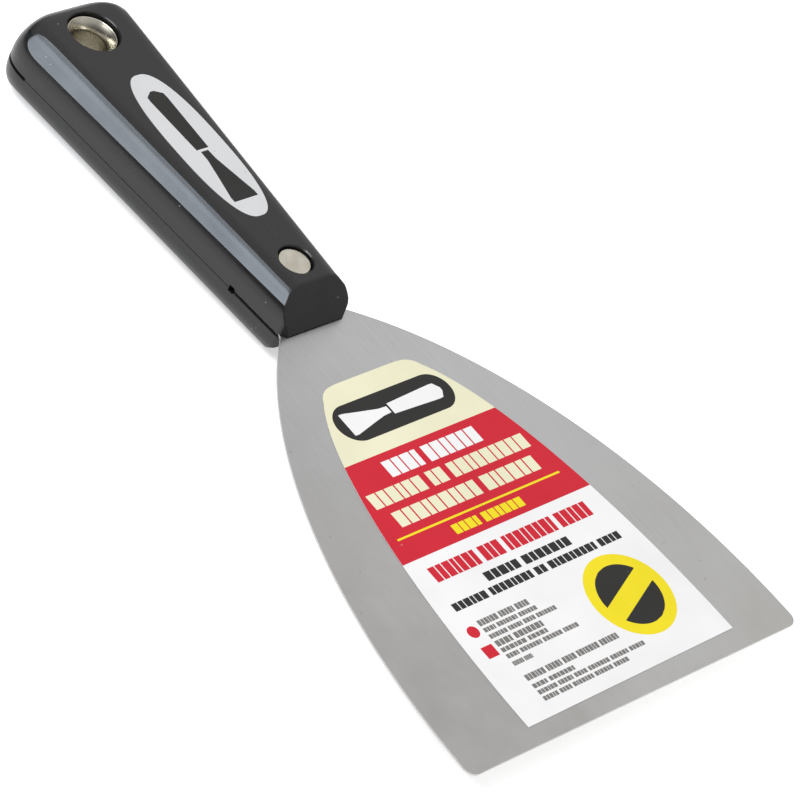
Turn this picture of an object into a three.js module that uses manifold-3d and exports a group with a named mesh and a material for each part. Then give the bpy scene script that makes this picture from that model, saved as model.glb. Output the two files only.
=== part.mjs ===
// Flexible putty knife: one spring-steel blade with a full tang, two moulded
// nylon scales riveted to it, and an eyelet that lines the hang hole.
//
// Millimetres. Inside the "knife" group Y = 0 is the working edge, +Y runs to
// the butt, +Z points out of the labelled face and Z = 0 is the middle of the
// blade's thickness. The handle is drawn straight and then set a little askew on
// the blade. The group is lifted so that the back of the handle rests on Z = 0,
// with the origin under the middle of the whole tool.

import * as THREE from "three";
import { mergeVertices } from "three/addons/utils/BufferGeometryUtils.js";
import Module from "manifold-3d";

// ---- driving dimensions ---------------------------------------------------

const overallLength = 202.9;

const bladeWidth = 102;
const bladeThickness = 0.7;
const bladeCornerRadius = 2.5;
const bladeSideRadiusX = 81; // the sides are arcs of an ellipse
const bladeSideRadiusY = 123.3;

const noseY = 107.7; // front end of the handle
const flexLineY = 95.9; // where the blade is split so that it can bend
const flexLineGap = 0.5;

const frontThickness = 9.7; // from the middle of the blade to each face of the handle
const backThickness = 8.4;
const noseHalfWidth = 9.72;
const handleFlare = 0.082; // half-width gained per millimetre of length
const handleOffset = -1.45; // the handle is fitted off the blade's middle
const handleTurn = 0.4; // and leans by this many degrees
const edgeRadiusAtNose = 6;
const edgeRadiusAtButt = 7;
const buttRoundingLength = 13.2;
const buttSquareness = 3.4; // exponent of the superellipse seen from above
const buttFaceRadius = 4.9; // rounding from the face over the butt end
const partingGap = 0.1; // between the two scales

const noseFacetTopY = 113.9; // where the sloping facet leaves the face
const noseFacetFootY = 108.9;
const noseFacetFootZ = 3.2;
const noseCornerCut = 1.7;

const chamferWidth = 6.2; // stopped chamfers along the four long edges
const chamferAngle = THREE.MathUtils.degToRad(48); // their flats face up this much
const chamferInsetAtNose = new THREE.Vector2(2.1, 1.65); // its middle, in from side and face
const chamferInsetAtButt = new THREE.Vector2(2.6, 2.15);
const chamferEndY = 191.5;
const chamferOverrun = 20; // how far the cutter starts before the nose

const shoulderEndY = 123.5; // the full-width part of the tang stops here
const reliefSize = 1.5; // square relief at the end of each side slot
const tangStemHalfWidth = 8;
const tangHeadY = 184;
const buttSlotY = 192;
const tangInset = 0.9; // tang head set back from the butt's outline
const neckInset = 0.6;
const pocketClearance = 0.15;
const pocketSlack = 0.05;

const rivetY = 120.2;
const rivetHeadRadius = 3.8;
const rivetHeadThickness = 1.2;
const rivetRecess = 0.7;
const rivetPinRadius = 1.6;
const rivetTubeRadius = 2.4;
const rivetClearance = 0.1;

const hangHoleY = 192.6;
const hangBoreRadius = 4;
const eyeletWall = 0.5;
const eyeletFlangeRadius = 5.85;
const eyeletFlareDepth = 2.1;
const eyeletRecess = 1.1;
const eyeletClearance = 0.15;

const counterboreGap = 0.4;

const labelThickness = 0.12;
const labelBottomY = 4.75;
const labelTopY = 93.5;
const labelHalfWidth = 32.3;
const labelSideRadiusX = 25.4; // its sides are arcs of an ellipse too
const labelSideRadiusY = 90.5;
const labelCornerRise = 3; // the top corners start this far below the top
const labelOffset = 1.3; // stuck on a little off the middle
const labelTilt = 0.7; // and askew, in degrees
const glueLine = 0.02;

const printY = 155.7;
const printOffset = 0.95; // from the middle of the handle
const printHalfLength = 22.3;
const printHalfWidth = 6.65;
const printSquareness = 2.5; // exponent of its superellipse outline
const printRecess = 0.2;
const printThickness = 0.15;

const roundSegments = 40;
const farAway = 60; // larger than the knife's half-width

// ---- materials ------------------------------------------------------------

const steel = new THREE.MeshStandardMaterial({
  name: "spring_steel",
  color: 0xb4b4b4,
  metalness: 1,
  roughness: 0.35,
});
const nylon = new THREE.MeshStandardMaterial({
  name: "black_nylon",
  color: 0x202022,
  roughness: 0.4,
});
const nickel = new THREE.MeshStandardMaterial({
  name: "nickel",
  color: 0xc4bca8,
  metalness: 1,
  roughness: 0.25,
});
const paper = new THREE.MeshStandardMaterial({
  name: "label_film",
  color: 0xd83545,
  roughness: 0.5,
});
const foil = new THREE.MeshStandardMaterial({
  name: "silver_foil",
  color: 0xd4d4d6,
  metalness: 0.6,
  roughness: 0.4,
});

// ---- solids ---------------------------------------------------------------

const wasm = await Module();
wasm.setup();

function solidFrom(geometry) {
  const bare = geometry.clone();
  bare.deleteAttribute("normal");
  bare.deleteAttribute("uv");
  const merged = mergeVertices(bare, 1e-4);
  const mesh = new wasm.Mesh({
    numProp: 3,
    vertProperties: new Float32Array(merged.attributes.position.array),
    triVerts: new Uint32Array(merged.index.array),
  });
  return new wasm.Manifold(mesh);
}

function geometryFrom(solid) {
  const mesh = solid.getMesh();
  const geometry = new THREE.BufferGeometry();
  const positions = new THREE.BufferAttribute(mesh.vertProperties, 3);
  geometry.setAttribute("position", positions);
  geometry.setIndex(new THREE.BufferAttribute(mesh.triVerts, 1));
  geometry.computeVertexNormals();
  return geometry;
}

// A block given by its lowest and highest corners.
function block(low, high) {
  const size = high.clone().sub(low);
  const middle = high.clone().add(low).multiplyScalar(0.5);
  const geometry = new THREE.BoxGeometry(size.x, size.y, size.z);
  geometry.translate(middle.x, middle.y, middle.z);
  return solidFrom(geometry);
}

// A flat shape in the XY plane, given thickness from Z = bottom upwards.
function plate(shape, bottom, thickness, curveSegments = 24) {
  const geometry = new THREE.ExtrudeGeometry(shape, {
    depth: thickness,
    bevelEnabled: false,
    curveSegments,
  });
  geometry.translate(0, 0, bottom);
  return solidFrom(geometry);
}

// A turned piece standing on the Z axis at (0, y), from (radius, height) pairs.
function turned(profile, y) {
  const points = profile.map(([radius, height]) => new THREE.Vector2(radius, height));
  const geometry = new THREE.LatheGeometry(points, roundSegments);
  geometry.rotateX(Math.PI / 2);
  geometry.translate(0, y, 0);
  return solidFrom(geometry);
}

// The part of a solid that lies between two Y stations.
function between(solid, lowY, highY) {
  const low = new THREE.Vector3(-farAway, lowY, -farAway);
  const high = new THREE.Vector3(farAway, highY, farAway);
  return solid.intersect(block(low, high));
}

// ---- blade ----------------------------------------------------------------

// Angle round the side's ellipse at which it has come in to a given half-width.
function bladeSideAngle(halfWidth) {
  const centre = bladeWidth / 2 - bladeSideRadiusX;
  return Math.acos((halfWidth - centre) / bladeSideRadiusX);
}

function bladeShape() {
  const half = bladeWidth / 2;
  const centre = half - bladeSideRadiusX;
  const endAngle = bladeSideAngle(noseHalfWidth);
  const corner = bladeCornerRadius;
  const shape = new THREE.Shape();
  shape.moveTo(-half + corner, 0);
  shape.lineTo(half - corner, 0);
  shape.quadraticCurveTo(half, 0, half, corner);
  shape.absellipse(
    centre, corner, bladeSideRadiusX, bladeSideRadiusY, 0, endAngle, false);
  shape.absellipse(
    -centre, corner, bladeSideRadiusX, bladeSideRadiusY, Math.PI - endAngle, Math.PI, false);
  shape.quadraticCurveTo(-half, 0, -half + corner, 0);
  return shape;
}

const bladePlate = plate(bladeShape(), -bladeThickness / 2, bladeThickness, 36);

function blade() {
  return between(bladePlate, -1, flexLineY - flexLineGap / 2);
}

// ---- handle ---------------------------------------------------------------

const buttY = overallLength;
const buttRoundingY = buttY - buttRoundingLength;

function handleHalfWidth(y) {
  const straight = noseHalfWidth + (y - noseY) * handleFlare;
  const past = Math.max(0, (y - buttRoundingY) / buttRoundingLength);
  return straight * Math.pow(1 - Math.pow(past, buttSquareness), 1 / buttSquareness);
}

function handleHalfThickness(y, faceZ) {
  const past = Math.max(0, y - (buttY - buttFaceRadius));
  const drop = buttFaceRadius - Math.sqrt(buttFaceRadius ** 2 - past ** 2);
  return faceZ - drop;
}

// One cross-section of a blank that is as thick behind the blade as in front of
// it: a rectangle with rounded corners.
function handleSection(y, faceZ) {
  const halfWidth = handleHalfWidth(y);
  const halfThickness = handleHalfThickness(y, faceZ);
  const along = (y - noseY) / (buttY - noseY);
  const wanted = THREE.MathUtils.lerp(edgeRadiusAtNose, edgeRadiusAtButt, along);
  const radius = Math.min(wanted, halfWidth * 0.98, halfThickness * 0.98);
  const steps = 8;
  const points = [];
  for (let corner = 0; corner < 4; corner++) {
    const signX = corner === 0 || corner === 3 ? 1 : -1;
    const signZ = corner < 2 ? 1 : -1;
    for (let step = 0; step <= steps; step++) {
      const angle = (corner + step / steps) * (Math.PI / 2);
      const x = signX * (halfWidth - radius) + radius * Math.cos(angle);
      const z = signZ * (halfThickness - radius) + radius * Math.sin(angle);
      points.push(new THREE.Vector3(x, y, z));
    }
  }
  return points;
}

function handleStations() {
  const stations = [noseY, (noseY + buttRoundingY) / 2, buttRoundingY];
  const steps = 16;
  const lastStep = steps - 1;
  for (let step = 1; step <= lastStep; step++) {
    const angle = (step / steps) * (Math.PI / 2);
    stations.push(buttRoundingY + buttRoundingLength * Math.sin(angle));
  }
  stations.push(buttY - 0.01);
  return stations;
}

// Joins rings of equal length into one closed surface.
function loft(rings) {
  const perRing = rings[0].length;
  const positions = rings.flat().flatMap((point) => point.toArray());
  const index = [];
  for (let ring = 0; ring + 1 < rings.length; ring++) {
    for (let at = 0; at < perRing; at++) {
      const a = ring * perRing + at;
      const b = ring * perRing + ((at + 1) % perRing);
      index.push(a, b + perRing, b, a, a + perRing, b + perRing);
    }
  }
  const last = (rings.length - 1) * perRing;
  for (let at = 1; at + 1 < perRing; at++) {
    index.push(0, at, at + 1);
    index.push(last, last + at + 1, last + at);
  }
  const geometry = new THREE.BufferGeometry();
  geometry.setAttribute("position", new THREE.Float32BufferAttribute(positions, 3));
  geometry.setIndex(index);
  return solidFrom(geometry);
}

// Everything in front of the sloping facet and the short land under it.
function noseCutter(faceZ) {
  const profile = new THREE.Shape();
  profile.moveTo(noseY, 0);
  profile.lineTo(noseFacetFootY, noseFacetFootZ);
  profile.lineTo(noseFacetTopY, faceZ);
  profile.lineTo(noseFacetTopY, faceZ + 5);
  profile.lineTo(noseY - 5, faceZ + 5);
  profile.lineTo(noseY - 5, 0);
  const geometry = new THREE.ExtrudeGeometry(profile, {
    depth: 2 * farAway,
    bevelEnabled: false,
  });
  // The profile's X becomes Y and its Y becomes Z.
  const turn = new THREE.Matrix4().makeBasis(
    new THREE.Vector3(0, 1, 0), new THREE.Vector3(0, 0, 1), new THREE.Vector3(1, 0, 0));
  geometry.applyMatrix4(turn);
  geometry.translate(-farAway, 0, 0);
  return solidFrom(geometry);
}

// The upright corners of the nose, seen from above.
function noseCornerCutter(signX) {
  const corner = handleHalfWidth(noseY);
  const shape = new THREE.Shape();
  shape.moveTo(corner - noseCornerCut, noseY - 1);
  shape.lineTo(corner + 5, noseY - 1);
  shape.lineTo(corner + 5, noseY + noseCornerCut + 5);
  shape.lineTo(corner - noseCornerCut, noseY);
  const solid = plate(shape, -farAway, 2 * farAway);
  return signX > 0 ? solid : solid.mirror([1, 0, 0]);
}

// The middle of a chamfer at one station.
function chamferCentre(y, inset, faceZ) {
  const straight = noseHalfWidth + (y - noseY) * handleFlare;
  return new THREE.Vector3(straight - inset.x, y, faceZ - inset.y);
}

// A long flat cutter with a round end, lying on one long front edge of the handle.
function chamferCutter(signX, faceZ) {
  const start = chamferCentre(noseFacetTopY, chamferInsetAtNose, faceZ);
  const along = chamferCentre(chamferEndY, chamferInsetAtButt, faceZ).sub(start);
  const length = along.length();
  along.normalize();
  const outward = new THREE.Vector3(Math.cos(chamferAngle), 0, Math.sin(chamferAngle));
  outward.addScaledVector(along, -outward.dot(along)).normalize();
  const across = new THREE.Vector3().crossVectors(along, outward);

  const radius = chamferWidth / 2;
  const shape = new THREE.Shape();
  shape.moveTo(-radius, -chamferOverrun);
  shape.lineTo(radius, -chamferOverrun);
  shape.lineTo(radius, length);
  shape.absarc(0, length, radius, 0, Math.PI, false);
  const geometry = new THREE.ExtrudeGeometry(shape, {
    depth: 10,
    bevelEnabled: false,
    curveSegments: 16,
  });
  const place = new THREE.Matrix4().makeBasis(across, along, outward);
  place.setPosition(start);
  geometry.applyMatrix4(place);
  const solid = solidFrom(geometry);
  return signX > 0 ? solid : solid.mirror([1, 0, 0]);
}

// A handle blank whose front half is finished.
function handleBlank(faceZ) {
  let blank = loft(handleStations().map((y) => handleSection(y, faceZ)));
  blank = blank.subtract(noseCutter(faceZ));
  for (const signX of [1, -1]) {
    blank = blank.subtract(chamferCutter(signX, faceZ));
    blank = blank.subtract(noseCornerCutter(signX));
  }
  return blank;
}

// Sets a piece of the handle a little askew on the blade.
function fitted(solid) {
  return solid
    .translate([0, -noseY, 0])
    .rotate([0, 0, handleTurn])
    .translate([handleOffset, noseY, 0]);
}

// The handle seen from above, set back by inset, as a thin flat plate.
function outlinePlate(inset, thickness) {
  const stations = handleStations();
  const scaleY = (y) => Math.min(y, buttY - inset);
  const right = stations.map(
    (y) => new THREE.Vector2(Math.max(handleHalfWidth(y) - inset, 0.2), scaleY(y)));
  const left = right.map((point) => new THREE.Vector2(-point.x, point.y)).reverse();
  const shape = new THREE.Shape([...right, ...left]);
  return plate(shape, -thickness / 2, thickness);
}

// ---- tang -----------------------------------------------------------------

// The tang's stem and head, grown sideways by clearance for the pocket.
function tangStem(clearance, thickness) {
  const halfWidth = tangStemHalfWidth + clearance;
  const low = new THREE.Vector3(-halfWidth, noseY + 5, -thickness / 2);
  const high = new THREE.Vector3(halfWidth, tangHeadY + 5, thickness / 2);
  const stem = block(low, high);
  const head = between(
    outlinePlate(tangInset - clearance, thickness), tangHeadY - clearance, buttY);
  return stem.add(head);
}

function tang() {
  const root = between(bladePlate, flexLineY + flexLineGap / 2, noseY + 2);
  const shoulders = between(outlinePlate(neckInset, bladeThickness), noseY + 1, shoulderEndY);
  const rivetHole = turned(
    [[0, -5], [rivetTubeRadius + rivetClearance, -5], [rivetTubeRadius + rivetClearance, 5], [0, 5]],
    rivetY);
  const eyeletOuter = hangBoreRadius + eyeletWall + eyeletClearance;
  const eyeletHole = turned([[0, -5], [eyeletOuter, -5], [eyeletOuter, 5], [0, 5]], hangHoleY);
  const inHandle = shoulders
    .add(tangStem(0, bladeThickness))
    .subtract(rivetHole)
    .subtract(eyeletHole);
  return root.add(fitted(inHandle));
}

// The space the tang needs: open at the nose, at both sides there, and round the butt.
function tangPocket() {
  const height = bladeThickness + 2 * pocketSlack;
  const half = height / 2;
  const noseSlot = block(
    new THREE.Vector3(-farAway, noseY - 5, -half),
    new THREE.Vector3(farAway, shoulderEndY + pocketClearance, half));
  const buttSlot = block(
    new THREE.Vector3(-farAway, buttSlotY, -half),
    new THREE.Vector3(farAway, buttY + 5, half));
  let pocket = noseSlot.add(buttSlot).add(tangStem(pocketClearance, height));
  for (const signX of [1, -1]) {
    const edge = signX * handleHalfWidth(shoulderEndY);
    const relief = block(
      new THREE.Vector3(edge - 2, shoulderEndY - 0.1, -reliefSize / 2),
      new THREE.Vector3(edge + 2, shoulderEndY + reliefSize, reliefSize / 2));
    pocket = pocket.add(relief);
  }
  return pocket;
}

// ---- rivet and eyelet -----------------------------------------------------

const pinTop = frontThickness - rivetRecess;
const pinSeat = pinTop - rivetHeadThickness;
const tubeTop = -(backThickness - rivetRecess);
const tubeSeat = tubeTop + rivetHeadThickness;
const headRounding = 0.25;

// A bore with a counterbore in the front face.
function steppedBore(boreRadius, counterboreRadius, counterboreDepth, y, faceZ) {
  const floor = faceZ - counterboreDepth;
  return turned(
    [
      [0, -1],
      [boreRadius, -1],
      [boreRadius, floor],
      [counterboreRadius, floor],
      [counterboreRadius, faceZ + 1],
      [0, faceZ + 1],
    ],
    y);
}

// The solid half of the compression rivet: front head and driven pin.
function rivetPin() {
  const tip = tubeSeat + 1;
  return turned(
    [
      [0, tip],
      [rivetPinRadius, tip],
      [rivetPinRadius, pinSeat],
      [rivetHeadRadius, pinSeat],
      [rivetHeadRadius, pinTop - headRounding],
      [rivetHeadRadius - headRounding, pinTop],
      [0, pinTop],
    ],
    rivetY);
}

// The hollow half: back head and the tube that the pin is driven into.
function rivetTube() {
  const inner = rivetPinRadius + rivetClearance / 2;
  const mouth = pinSeat - 0.2;
  const bottom = tubeSeat + 0.4;
  return turned(
    [
      [0, tubeTop],
      [rivetHeadRadius - headRounding, tubeTop],
      [rivetHeadRadius, tubeTop + headRounding],
      [rivetHeadRadius, tubeSeat],
      [rivetTubeRadius, tubeSeat],
      [rivetTubeRadius, mouth],
      [inner, mouth],
      [inner, bottom],
      [0, bottom],
    ],
    rivetY);
}

// The inner and outer outlines of one mouth of the eyelet, from the bore outwards.
function eyeletMouth(faceZ) {
  const lip = faceZ - eyeletRecess;
  const steps = 6;
  const inner = [];
  const outer = [];
  for (let step = 0; step <= steps; step++) {
    const angle = (step / steps) * (Math.PI / 2);
    const spread = eyeletFlangeRadius - hangBoreRadius;
    const radius = hangBoreRadius + spread * (1 - Math.cos(angle));
    const height = lip - eyeletFlareDepth * (1 - Math.sin(angle));
    inner.push([radius, height]);
    outer.push([radius + eyeletWall * Math.cos(angle), height - eyeletWall * Math.sin(angle)]);
  }
  return { inner, outer };
}

// A tube flared at both ends, so that each mouth curves into the bore.
function hangEyelet() {
  const front = eyeletMouth(frontThickness);
  const back = eyeletMouth(backThickness);
  const below = (points) => points.map(([radius, height]) => [radius, -height]);
  const outside = [...below(back.outer).reverse(), ...front.outer];
  const inside = [...front.inner.reverse(), ...below(back.inner)];
  return turned([...outside, ...inside, outside[0]], hangHoleY);
}

// ---- scales ---------------------------------------------------------------

// One scale, built as the front one.
function scale(faceZ) {
  const rivetBore = steppedBore(
    rivetTubeRadius + rivetClearance,
    rivetHeadRadius + counterboreGap,
    rivetRecess + rivetHeadThickness,
    rivetY,
    faceZ);
  const eyeletBore = steppedBore(
    hangBoreRadius + eyeletWall + eyeletClearance,
    eyeletFlangeRadius + counterboreGap,
    eyeletRecess + eyeletFlareDepth + eyeletWall,
    hangHoleY,
    faceZ);
  const far = farAway * 5;
  const upper = block(
    new THREE.Vector3(-far, -far, partingGap / 2), new THREE.Vector3(far, far, far));
  return handleBlank(faceZ)
    .subtract(tangPocket())
    .subtract(rivetBore)
    .subtract(eyeletBore)
    .intersect(upper);
}

function frontScale() {
  const printPocket = plate(
    printShape(pocketClearance), frontThickness - printRecess, printRecess + 1);
  return scale(frontThickness).subtract(printPocket);
}

function backScale() {
  return scale(backThickness).mirror([0, 0, 1]);
}

// ---- label and print ------------------------------------------------------

function labelShape() {
  const centre = labelHalfWidth - labelSideRadiusX;
  const rise = labelTopY - labelCornerRise - labelBottomY;
  const endAngle = Math.asin(rise / labelSideRadiusY);
  const topHalf = centre + labelSideRadiusX * Math.cos(endAngle);
  const shape = new THREE.Shape();
  shape.moveTo(-labelHalfWidth, labelBottomY);
  shape.lineTo(labelHalfWidth, labelBottomY);
  shape.absellipse(
    centre, labelBottomY, labelSideRadiusX, labelSideRadiusY, 0, endAngle, false);
  shape.quadraticCurveTo(
    topHalf - labelCornerRise / 2, labelTopY, topHalf - 2 * labelCornerRise, labelTopY);
  shape.lineTo(-topHalf + 2 * labelCornerRise, labelTopY);
  shape.quadraticCurveTo(
    -topHalf + labelCornerRise / 2, labelTopY, -topHalf, labelTopY - labelCornerRise);
  shape.absellipse(
    -centre, labelBottomY, labelSideRadiusX, labelSideRadiusY,
    Math.PI - endAngle, Math.PI, false);
  return shape;
}

function bladeLabel() {
  const label = plate(labelShape(), bladeThickness / 2 + glueLine, labelThickness, 16);
  const middle = (labelBottomY + labelTopY) / 2;
  return label
    .translate([0, -middle, 0])
    .rotate([0, 0, labelTilt])
    .translate([labelOffset, middle, 0]);
}

// A plain superellipse, lengthways on the handle.
function printShape(clearance) {
  const steps = 64;
  const shape = new THREE.Shape();
  const power = 2 / printSquareness;
  for (let step = 0; step < steps; step++) {
    const angle = (step / steps) * 2 * Math.PI;
    const across = Math.sign(Math.cos(angle)) * Math.abs(Math.cos(angle)) ** power;
    const along = Math.sign(Math.sin(angle)) * Math.abs(Math.sin(angle)) ** power;
    const x = printOffset + across * (printHalfWidth + clearance);
    const y = printY + along * (printHalfLength + clearance);
    if (step === 0) {
      shape.moveTo(x, y);
    } else {
      shape.lineTo(x, y);
    }
  }
  return shape;
}

function handlePrint() {
  return plate(printShape(0), frontThickness - printRecess + glueLine, printThickness);
}

// ---- assembly -------------------------------------------------------------

const pieces = [
  ["blade", blade(), steel],
  ["blade_tang", tang(), steel],
  ["blade_label", bladeLabel(), paper],
  ["handle_scale_front", fitted(frontScale()), nylon],
  ["handle_scale_back", fitted(backScale()), nylon],
  ["handle_print", fitted(handlePrint()), foil],
  ["rivet_pin", fitted(rivetPin()), nickel],
  ["rivet_tube", fitted(rivetTube()), nickel],
  ["hang_eyelet", fitted(hangEyelet()), nickel],
];

const knife = new THREE.Group();
knife.name = "knife";
knife.position.set(0, -overallLength / 2, backThickness);
for (const [name, solid, material] of pieces) {
  const mesh = new THREE.Mesh(geometryFrom(solid), material);
  mesh.name = name;
  knife.add(mesh);
}

const group = new THREE.Group();
group.name = "putty_knife";
group.add(knife);

export default group;
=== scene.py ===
"""Flexible putty knife: the finished look of the part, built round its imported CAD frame.

Lengths are millimetres in the knife's own frame: Y = 0 is the working edge, +Y runs to the
butt, +Z points out of the labelled face and Z = 0 is the middle of the blade's thickness.
knife_point() turns them into the frame's metres. The handle is built straight, about its own
middle line, and seated() then sets it a little askew on the blade, where the frame has it.
"""

import math

import bmesh
import bpy
from mathutils import Matrix, Vector


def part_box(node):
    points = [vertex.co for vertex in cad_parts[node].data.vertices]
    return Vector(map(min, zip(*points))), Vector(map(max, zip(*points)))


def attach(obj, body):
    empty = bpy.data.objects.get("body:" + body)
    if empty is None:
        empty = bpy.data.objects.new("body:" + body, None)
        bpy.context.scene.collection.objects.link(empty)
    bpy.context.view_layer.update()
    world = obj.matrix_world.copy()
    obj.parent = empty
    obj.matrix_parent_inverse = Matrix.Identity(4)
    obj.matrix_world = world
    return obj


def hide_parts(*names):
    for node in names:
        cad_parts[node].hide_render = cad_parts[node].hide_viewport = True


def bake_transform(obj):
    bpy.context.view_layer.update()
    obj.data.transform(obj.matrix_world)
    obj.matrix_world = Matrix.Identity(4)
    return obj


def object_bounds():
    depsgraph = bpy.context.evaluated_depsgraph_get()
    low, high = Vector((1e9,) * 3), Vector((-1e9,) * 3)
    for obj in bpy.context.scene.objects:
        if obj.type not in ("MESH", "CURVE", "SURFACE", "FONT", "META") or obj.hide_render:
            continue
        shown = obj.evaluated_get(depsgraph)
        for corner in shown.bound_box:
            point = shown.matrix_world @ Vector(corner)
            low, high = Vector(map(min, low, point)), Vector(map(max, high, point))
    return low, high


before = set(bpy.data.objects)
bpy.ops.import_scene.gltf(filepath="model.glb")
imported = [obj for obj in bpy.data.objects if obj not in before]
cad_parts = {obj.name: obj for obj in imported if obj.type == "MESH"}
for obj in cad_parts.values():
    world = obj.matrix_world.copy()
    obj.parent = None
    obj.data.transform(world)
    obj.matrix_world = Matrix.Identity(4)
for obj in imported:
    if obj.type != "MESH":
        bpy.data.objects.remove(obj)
cad_low, cad_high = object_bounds()

MM = 0.001

# ---- places and sizes read from the frame ----

blade_low, blade_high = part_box("blade")
EDGE_Y = blade_low.y
MIDDLE_Z = (blade_low.z + blade_high.z) / 2


def knife_point(x, y, z):
    return Vector((x * MM, EDGE_Y + y * MM, MIDDLE_Z + z * MM))


def knife_y(metres):
    return (metres - EDGE_Y) / MM


def knife_z(metres):
    return (metres - MIDDLE_Z) / MM


BLADE_HALF_WIDTH = blade_high.x / MM
BLADE_HALF_THICKNESS = knife_z(blade_high.z)

scale_low, scale_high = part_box("handle_scale_front")
back_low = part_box("handle_scale_back")[0]
NOSE_Y = knife_y(scale_low.y)
BUTT_Y = knife_y(scale_high.y)
FRONT_FACE = knife_z(scale_high.z)
BACK_FACE = -knife_z(back_low.z)

pin_low, pin_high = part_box("rivet_pin")
RIVET_X = (pin_low.x + pin_high.x) / 2 / MM
RIVET_Y = knife_y((pin_low.y + pin_high.y) / 2)
RIVET_RADIUS = (pin_high.x - pin_low.x) / 2 / MM
RIVET_RECESS = FRONT_FACE - knife_z(pin_high.z)

eyelet_low, eyelet_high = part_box("hang_eyelet")
HOLE_X = (eyelet_low.x + eyelet_high.x) / 2 / MM
HOLE_Y = knife_y((eyelet_low.y + eyelet_high.y) / 2)
EYELET_RADIUS = (eyelet_high.x - eyelet_low.x) / 2 / MM
EYELET_RECESS = FRONT_FACE - knife_z(eyelet_high.z)

HANDLE_TURN = math.atan2(RIVET_X - HOLE_X, HOLE_Y - RIVET_Y)  # the handle leans this much


def seated(x, y):
    """A place in the straight handle's own frame, from above, where the handle is fitted."""
    up = y - RIVET_Y
    turned_x = x * math.cos(HANDLE_TURN) - up * math.sin(HANDLE_TURN)
    turned_y = x * math.sin(HANDLE_TURN) + up * math.cos(HANDLE_TURN)
    return RIVET_X + turned_x, RIVET_Y + turned_y


label_low, label_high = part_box("blade_label")
FILM_LOW = knife_z(label_low.z)
FILM_HIGH = knife_z(label_high.z)

print_low, print_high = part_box("handle_print")
PRINT_Y = knife_y((print_low.y + print_high.y) / 2)
PRINT_HALF_LENGTH = (print_high.y - print_low.y) / 2 / MM
PRINT_X = (print_low.x + print_high.x) / 2 / MM - seated(0, PRINT_Y)[0]
PRINT_HALF_WIDTH = (print_high.x - print_low.x) / 2 / MM
PRINT_LOW = knife_z(print_low.z)
PRINT_HIGH = knife_z(print_high.z)

# ---- design dimensions ----

BLADE_CORNER = 2.5
BLADE_SIDE_X = 81  # the sides are arcs of an ellipse
BLADE_SIDE_Y = 123.3
BLADE_EDGE_ROUNDING = 0.2
BLADE_COLUMNS = 40
BLADE_ROW = 1.25
NECK_SOFTNESS = 0.4  # rounds the corner where the blade's side runs into the neck
NECK_INSET = 0.6
SHOULDER_END = 123.5
RELIEF_END = 125
BUTT_SLOT = 192

NOSE_HALF_WIDTH = 9.72
HANDLE_FLARE = 0.082
NOSE_EDGE_RADIUS = 6
BUTT_EDGE_RADIUS = 7
BUTT_ROUNDING = 13.2
BUTT_SQUARENESS = 3.4
BUTT_FACE_RADIUS = 4.9

FACET_TOP_Y = 113.9
FACET_FOOT_Y = 108.9
FACET_FOOT_Z = 3.2
NOSE_CORNER_CUT = 1.7
NOSE_FILLET = 0.35
NOSE_FILLET_ROWS = 4
NOSE_ROWS = 7
NOSE_ROWS_END = 117.5

SLOT_HALF = 0.38
RELIEF_HALF = 0.75
PARTING_HALF = 0.012  # half the hairline between the scales
PARTING_LIP = 0.12
BUTT_ROWS = 36
BUTT_ROWS_START = 199.4  # the rows stand closer and closer from here to the butt
STEP = 0.01  # between the two rows at each end of a slot

CHAMFER_ANGLE = math.radians(48)  # direction its flat faces, up from the side wall
CHAMFER_INSET_NOSE = (2.2, 1.72)  # its middle, in from the straight side and from the face
CHAMFER_INSET_BUTT = (2.6, 2.15)
CHAMFER_END_Y = 191.5
POLISH_END_Y = 199
CHAMFER_CROWN = 0.03  # height of its ridge over its width
CHAMFER_RIDGE = 0.33  # place of the ridge, 1 being the upper edge
CHAMFER_COLUMNS = (1, 0.96, 0.66, CHAMFER_RIDGE, 0, -0.33, -0.66, -0.96, -1)
CHAMFER_LEAST_HALF_ANGLE = math.radians(3)
CHAMFER_MARGIN = 1.04  # where the rounded edge's own columns stop, beside the chamfer

FACE_COLUMNS = 6
ARC_COLUMNS = 5
CHAMFER_FIRST = FACE_COLUMNS + ARC_COLUMNS
WALL_HEIGHTS = (0.25, 0.5, 0.75, 1)

TANG_STEM_HALF = 8
TANG_HEAD_Y = 184
TANG_INSET = 0.9
TANG_CLEARANCE = 0.15
TANG_END_REACH = 22  # length over which the tang's outline is carried on to the butt's end

RIVET_HEAD_THICKNESS = 1.2
RIVET_RIM = 0.3  # rounding of the heads' rims
RIVET_PIN = 1.6
RIVET_PIN_END = -4.8
RIVET_TUBE = 2.4
RIVET_TUBE_END = 5.1
RIVET_CLEARANCE = 0.1
CENTRE = 0.02  # radius of the smallest ring in the middle of a turned face
EYELET_BORE = 4
EYELET_WALL = 0.5
EYELET_FLARE_DEPTH = 2.1
EYELET_FUNNEL = 0.9  # how far below the flare its funnel starts
EYELET_FLARE_POWER = 1.6
EYELET_CLEARANCE = 0.15
COUNTERBORE_GAP = 0.25
LIP_CHAMFER = 0.25
PRINT_SQUARENESS = 2.5  # exponent of the foil's superellipse
PRINT_CLEARANCE = 0.12

LABEL_BOTTOM = 4.75
LABEL_TOP = 93.5
LABEL_HALF_WIDTH = 32.3
LABEL_SIDE_X = 25.4  # its sides are arcs of an ellipse too
LABEL_SIDE_Y = 90.5
LABEL_CORNER = 3
LABEL_OFFSET = 1.3
LABEL_TILT = 0.012  # radians it was stuck on askew
INK = 0.012  # thickness of one printed layer

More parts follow.
